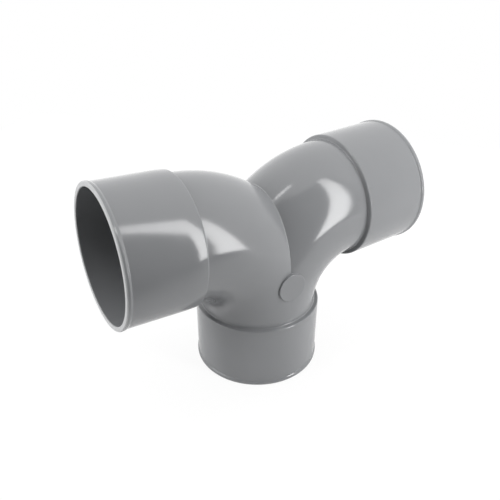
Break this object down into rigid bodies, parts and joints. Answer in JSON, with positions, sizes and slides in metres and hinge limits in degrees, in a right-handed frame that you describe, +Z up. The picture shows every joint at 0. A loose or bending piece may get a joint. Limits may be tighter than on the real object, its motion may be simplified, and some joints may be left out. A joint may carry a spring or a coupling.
{
  "type": "double elbow",
  "caption": "Moulded grey drain fitting: an upright tail socket parts into two swept bends that leave back to back, each ending in a level socket for plastic pipe.",
  "frame": {"origin": "middle of the tail socket's mouth, the plane that the fitting stands on", "axes": "+Z up the tail socket's axis, +X towards one arm socket, -Y towards the round pad on the front"},
  "size_m": [0.2692, 0.108, 0.1898],
  "materials": {
    "moulded_plastic": "satin"
  },
  "bodies": {
    "root": {"double_elbow": "moulded_plastic"}
  },
  "joints": []
}
